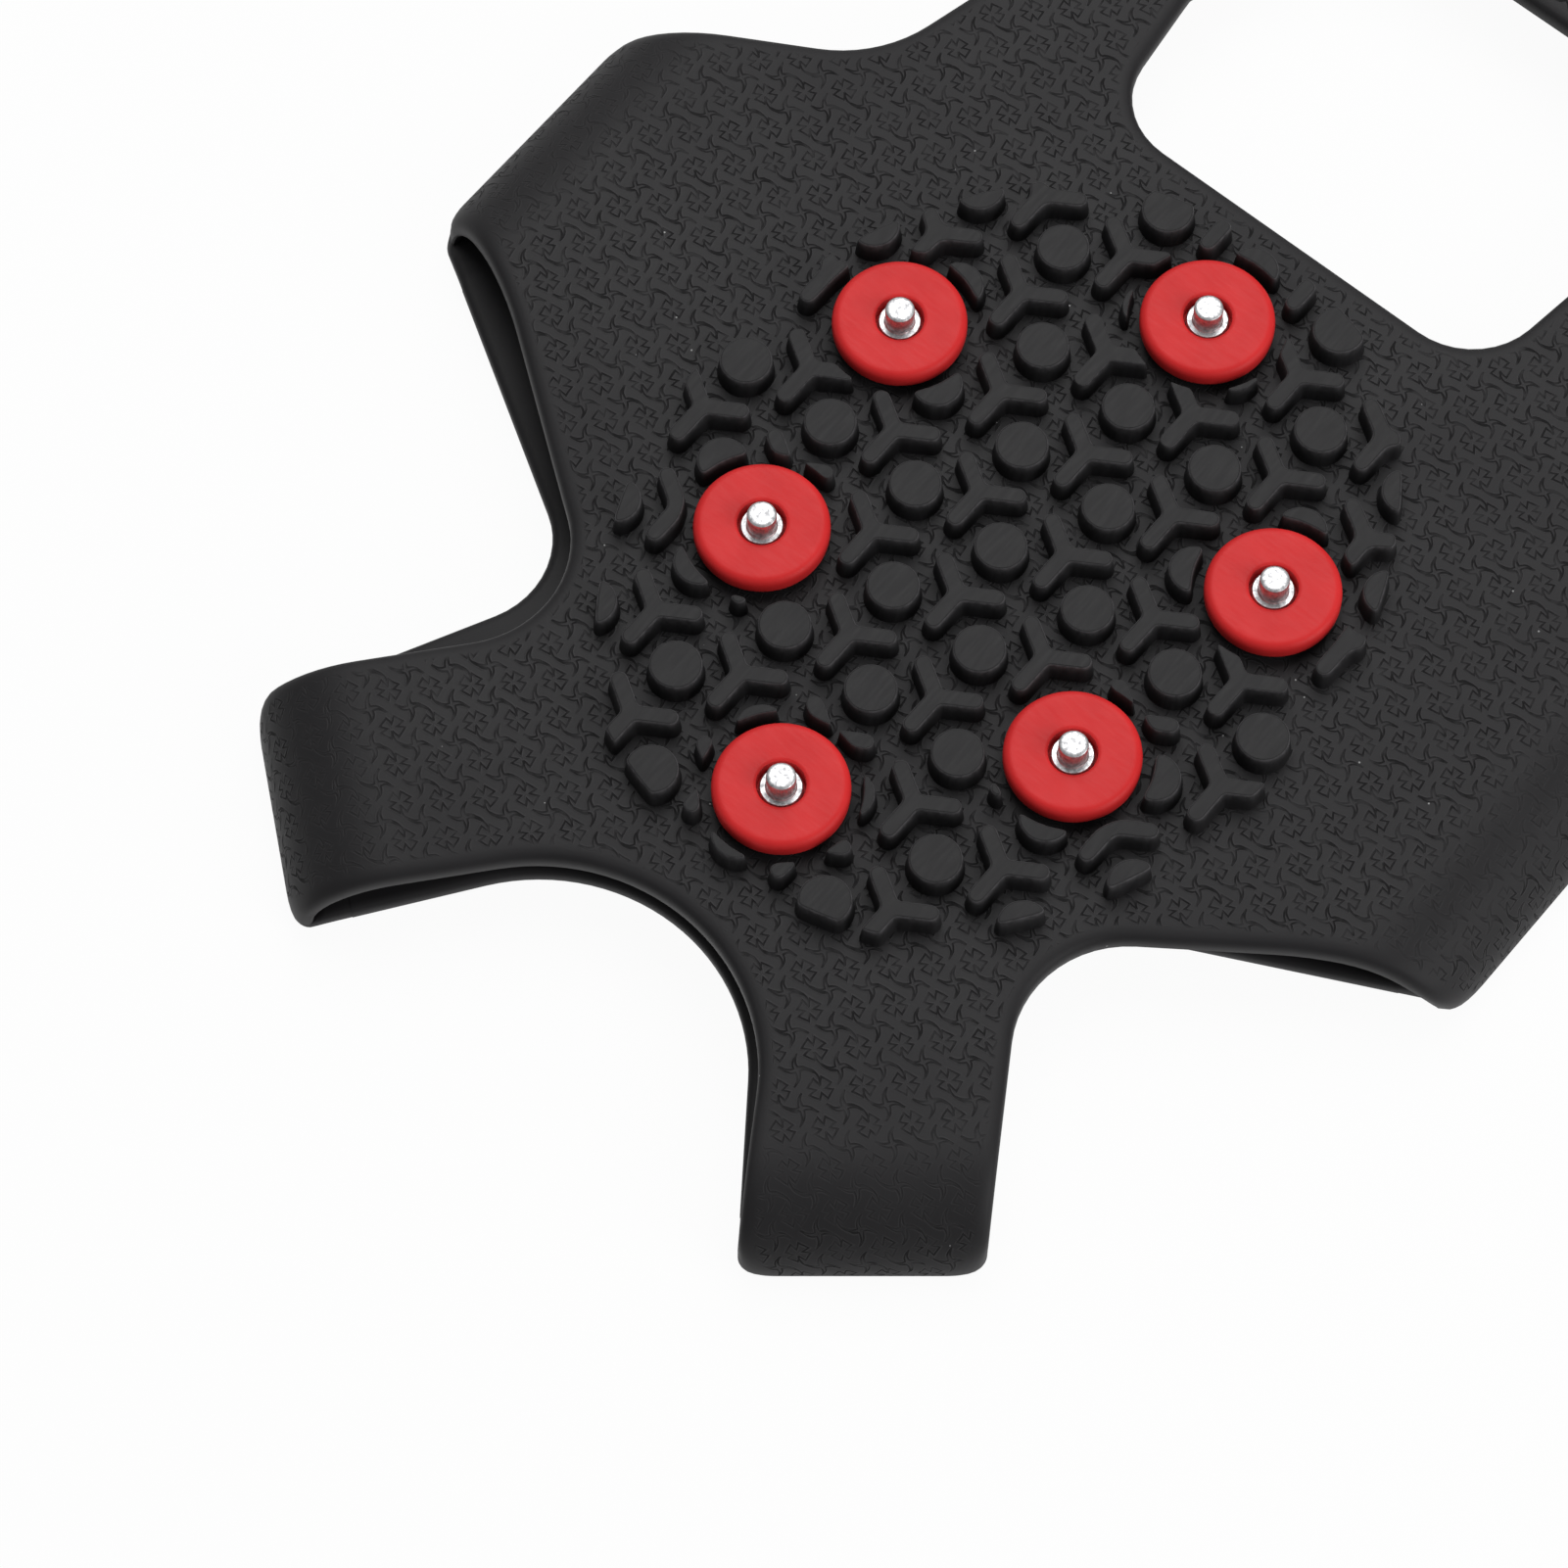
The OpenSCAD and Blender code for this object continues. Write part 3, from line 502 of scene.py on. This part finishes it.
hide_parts("band_toe", "band_left_fore", "band_right_fore", "band_left_heel",
            "band_right_heel", "band_heel")
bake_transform(band, "forefoot", "heel_half", bend_from, bend_to)

# Pull tab: a rubber tongue in the heel notch, with a hole to hang the cleat by. It is moulded on
# the band and moves with the heel half.
tab = bmesh.new()
opening(tab, Vector((0, 117, 0)), Vector((9, 117, 0)), (Vector((0, 131, 0)), 9, 0, 90))
opening(tab, (Vector((0, 131, 0)), 3.5, -90, 90))
thick_sheet(tab, 2.34, 0.06, inner_round, inner_round, False)
tab = finish_piece(tab, "pull_tab_rubber", rubber)
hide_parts("pull_tab")
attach(tab, "heel_half")

# Tread blocks: round buttons and three-armed blocks, moulded with the sole, with drafted sides and
# flat tops with a narrow rounded edge, which carries a painted highlight. Those at the patch's edge and
# beside a stud are cut off.
tread_rubber, tree, shader = new_finish("tread_rubber")
at = lay(tree, "ShaderNodeTexCoord", give=3)
grain = lay(tree, "ShaderNodeTexNoise", at, None, 1500, 4)
streaks = lay(tree, "ShaderNodeVectorMath", at, (2600, 300, 300), operation="MULTIPLY")
streaks = lay(tree, "ShaderNodeTexNoise", streaks, None, 1, 3)
tone = lay(tree, "ShaderNodeMapRange", streaks, 0.35, 0.7, 0, 1)
black = blend_colours(tree, tone, (0.0125, 0.012, 0.0128), (0.0185, 0.018, 0.019))
# The narrow rounded edges of the block tops are painted lighter, mottled by the grain: a painted highlight.
rim_highlight = lay(tree, "ShaderNodeAttribute", attribute_name="rim_highlight", give=2)
rim_highlight = calc("POWER", rim_highlight, 5)
rim_highlight = calc("MULTIPLY", rim_highlight, lay(tree, "ShaderNodeMapRange", grain, 0.35, 0.6, 0.4, 0.9))
tree.links.new(blend_colours(tree, rim_highlight, black, (0.085, 0.082, 0.086)), shader.inputs["Base Color"])
dull = lay(tree, "ShaderNodeMapRange", streaks, 0.3, 0.7, 0.48, 0.62)
tree.links.new(dull, shader.inputs["Roughness"])
shader.inputs["Specular IOR Level"].default_value = 0.24
set_relief(tree, shader, grain, 0.1, 0.0001)

scrap_area, fine_edge, draft, rim = 0.5, 0.2, 0.35, 0.18
for node, body in (("tread_fore", "forefoot"), ("tread_heel", "heel_half")):
    blocks = bmesh.new()
    blocks.from_mesh(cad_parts[node].data)
    rim_highlight = blocks.verts.layers.float.new("rim_highlight")
    bmesh.ops.remove_doubles(blocks, verts=blocks.verts, dist=1e-6)
    crown = max(v.co.z for v in blocks.verts)
    lower_faces = [f for f in blocks.faces if min(v.co.z for v in f.verts) < crown - 1e-5]
    bmesh.ops.delete(blocks, geom=lower_faces, context="FACES")
    bmesh.ops.dissolve_limit(blocks, angle_limit=0.02, verts=blocks.verts, edges=blocks.edges)
    bmesh.ops.translate(blocks, vec=-tread_centre, verts=blocks.verts)
    bmesh.ops.scale(blocks, vec=(1 / mm, 1 / mm, 1 / mm), verts=blocks.verts)
    whole_area = max(f.calc_area() for f in blocks.faces)
    scraps = [f for f in blocks.faces if f.calc_area() < scrap_area]
    bmesh.ops.delete(blocks, geom=scraps, context="FACES")
    for cuts in range(1, 40):
        lengths = [e for e in blocks.edges if round(e.calc_length() / fine_edge) == cuts + 1]
        bmesh.ops.bisect_edges(blocks, edges=lengths, cuts=cuts)
    for top in blocks.faces:
        is_whole = top.calc_area() > 0.85 * whole_area
        for _ in range(4 if is_whole else 16):
            bmesh.ops.smooth_vert(
                blocks, verts=top.verts, factor=0.5, use_axis_x=True, use_axis_y=True)
    skirt = bmesh.ops.extrude_edge_only(blocks, edges=blocks.edges[:])["geom"]
    for vert in of_kind(skirt, bmesh.types.BMVert):
        vert.co.z = plate_top - 0.3
    bmesh.ops.recalc_face_normals(blocks, faces=blocks.faces)
    blocks.normal_update()
    foot = [v for v in blocks.verts if v.co.z < plate_top]
    for vert in foot:
        vert.co += Vector((vert.normal.x, vert.normal.y, 0)) * draft
    for top in [f for f in blocks.faces if f.normal.z > 0.9]:
        bmesh.ops.bevel(blocks, geom=top.edges[:], offset=rim, offset_type="OFFSET", segments=2,
                        profile=0.5, affect="EDGES", clamp_overlap=True, material=-1)
    crown = max(v.co.z for v in blocks.verts)
    for vert in blocks.verts:
        # Marks the rounded top edges, which get the painted highlight.
        vert[rim_highlight] = plate_top < vert.co.z < crown - 0.01
    bmesh.ops.holes_fill(blocks, edges=[e for e in blocks.edges if e.is_boundary])
    blocks = finish_piece(blocks, node + "_blocks", tread_rubber, 20)
    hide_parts(node)
    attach(blocks, body)

# Stud discs: satin red plastic with a flat top, a round rim and a recess for the steel collar. Each
# sits on a neck in the sole and can turn there.
red_plastic, tree, shader = new_finish("red_plastic")
at = lay(tree, "ShaderNodeTexCoord", give=3)
cloudy = lay(tree, "ShaderNodeTexNoise", at, None, 220, 3)
scratches = lay(tree, "ShaderNodeVectorMath", at, (500, 4200, 500), operation="MULTIPLY")
scratches = lay(tree, "ShaderNodeTexNoise", scratches, None, 1, 3)
tone = lay(tree, "ShaderNodeMapRange", cloudy, 0.3, 0.7, 0, 1)
red = blend_colours(tree, tone, (0.62, 0.0215, 0.0225), (0.69, 0.028, 0.029))
tree.links.new(red, shader.inputs["Base Color"])
dull = lay(tree, "ShaderNodeMapRange", scratches, 0.3, 0.7, 0.38, 0.52)
tree.links.new(dull, shader.inputs["Roughness"])
shader.inputs["Specular IOR Level"].default_value = 0.18
set_relief(tree, shader, scratches, 0.12, 0.0001)


def turned(place, *stretches):
    """Solid at a stud's place, turned from a closed profile of radius and height."""
    bm = bmesh.new()
    chain = edge_path(bm, *stretches)
    bm.edges.new((chain[-1], chain[0]))
    upright = Matrix.Rotation(math.radians(90), 3, "X")
    bmesh.ops.rotate(bm, cent=(0, 0, 0), matrix=upright, verts=chain)
    geom = bm.verts[:] + bm.edges[:]
    bmesh.ops.spin(bm, geom=geom, cent=(0, 0, 0), axis=(0, 0, 1), angle=2 * math.pi, steps=72,
                   use_merge=True)
    bmesh.ops.remove_doubles(bm, verts=bm.verts, dist=1e-4)
    spot = (place - tread_centre) / mm
    bmesh.ops.translate(bm, vec=(spot.x, spot.y, 0), verts=bm.verts)
    return bm


def corners_of(*pairs):
    return [Vector((radius, height, 0)) for radius, height in pairs]


for body, place in studs.items():
    disc = turned(
        place, *corners_of((2.22, 8.5), (3.5, 8.5), (3.5, 10.1), (4.2, 10.5), (5.9, 10.75)),
        (Vector((6.075, 11.6, 0)), 0.8, -75, 0), (Vector((5.975, 12.3, 0)), 0.9, 0, 90),
        *corners_of((5.7, 13.2), (2.9, 13.2), (2.65, 13.17), (2.5, 13.05), (2.45, 12.8), (2.45, 11.5),
                    (2.22, 11.5)))
    disc = finish_piece(disc, body + "_disc", red_plastic)
    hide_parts(body.replace("stud_", "stud_disc_"))
    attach(disc, body)

# Stud pins: galvanised steel, with a flat head under the sole, a collar that shows in the disc, and
# a short blunt point. Each is fixed in its disc and turns with it.
steel, tree, shader = new_finish("galvanised_steel")
at = lay(tree, "ShaderNodeTexCoord", give=3)
crystals = lay(tree, "ShaderNodeTexNoise", at, None, 2200, 4)
tone = lay(tree, "ShaderNodeMapRange", crystals, 0.35, 0.65, 0, 1)
grey = blend_colours(tree, tone, (0.4, 0.4, 0.41), (0.8, 0.8, 0.81))
tree.links.new(grey, shader.inputs["Base Color"])
shader.inputs["Metallic"].default_value = 1
dull = lay(tree, "ShaderNodeMapRange", crystals, 0.3, 0.7, 0.55, 0.36)
tree.links.new(dull, shader.inputs["Roughness"])
set_relief(tree, shader, crystals, 0.15, 0.0001)
for body, place in studs.items():
    pin = turned(place, *corners_of(
        (0, 7.4), (5.3, 7.4), (5.5, 7.6), (5.5, 8.3), (5.4, 8.4), (2.2, 8.4), (2.2, 12.3),
        (2.05, 12.5), (1.9, 12.5), (1.6, 12.5), (1.5, 12.6), (1.5, 12.8), (1.5, 14.6),
        (1.45, 14.85), (1.25, 15), (1, 15), (0, 15)))
    pin = finish_piece(pin, body + "_pin", steel)
    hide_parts(body.replace("stud_", "stud_pin_"))
    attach(pin, body)

# Floor, camera and light: a flat floor that the camera sees as nearly plain white, under broad soft
# lamps. The cleat is seen from its toe's right, well above, through a long lens that leaves the
# heel half out of the picture.
white, tree, shader = new_finish("white_floor")
shader.inputs["Base Color"].default_value = (0.8, 0.8, 0.8, 1)
shader.inputs["Roughness"].default_value = 0.9
path = tree.nodes.new("ShaderNodeLightPath").outputs
seen = calc("MAXIMUM", path["Is Camera Ray"], path["Is Glossy Ray"])
seen = calc("MAXIMUM", seen, path["Is Transmission Ray"])
glow = lay(tree, "ShaderNodeEmission", (1, 1, 1, 1), 1.0)
shown = lay(tree, "ShaderNodeMixShader", calc("MULTIPLY", seen, 0.95), shader.outputs[0], glow)
tree.links.new(shown, tree.nodes["Material Output"].inputs["Surface"])
floor = bmesh.new()
bmesh.ops.create_grid(floor, x_segments=8, y_segments=8, size=3)
bmesh.ops.translate(floor, vec=(0, 0, -0.0002), verts=floor.verts)
mesh = bpy.data.meshes.new("floor")
floor.to_mesh(mesh)
floor.free()
mesh.materials.append(white)
floor = bpy.data.objects.new("floor", mesh)
bpy.context.scene.collection.objects.link(floor)
lamps = (("key", (-0.25, 0.4, 0.95), 0.9, 7.6), ("back", (-0.5, 0.65, 0.6), 0.8, 1),
         ("side", (0.85, 0.1, 0.45), 0.6, 3.8))
for name, place, size, power in lamps:
    lamp = bpy.data.objects.new(name, bpy.data.lights.new(name, "AREA"))
    lamp.data.size = size
    lamp.data.energy = power
    lamp.location = place
    lamp.rotation_mode = "QUATERNION"
    lamp.rotation_quaternion = (-Vector(place)).to_track_quat("-Z", "Y")
    bpy.context.scene.collection.objects.link(lamp)
world = bpy.data.worlds.new("studio")
world.use_nodes = True
world.node_tree.nodes["Background"].inputs["Color"].default_value = (1, 1, 1, 1)
world.node_tree.nodes["Background"].inputs["Strength"].default_value = 0.24
bpy.context.scene.world = world
turn, rise = math.radians(39.6), math.radians(65)
look_back = Vector((math.sin(turn) * math.cos(rise), -math.cos(turn) * math.cos(rise), math.sin(rise)))
camera = bpy.data.objects.new("photo_camera", bpy.data.cameras.new("photo_camera"))
camera.data.sensor_width = 36
camera.data.lens = 146.2
camera.data.clip_start = 0.05
camera.location = tread_centre + Vector((0.1678, -0.2367, 0.5769))
camera.rotation_mode = "QUATERNION"
camera.rotation_quaternion = (-look_back).to_track_quat("-Z", "Y")
bpy.context.scene.collection.objects.link(camera)
bpy.context.scene.camera = camera
bpy.context.scene.view_settings.view_transform = "Standard"
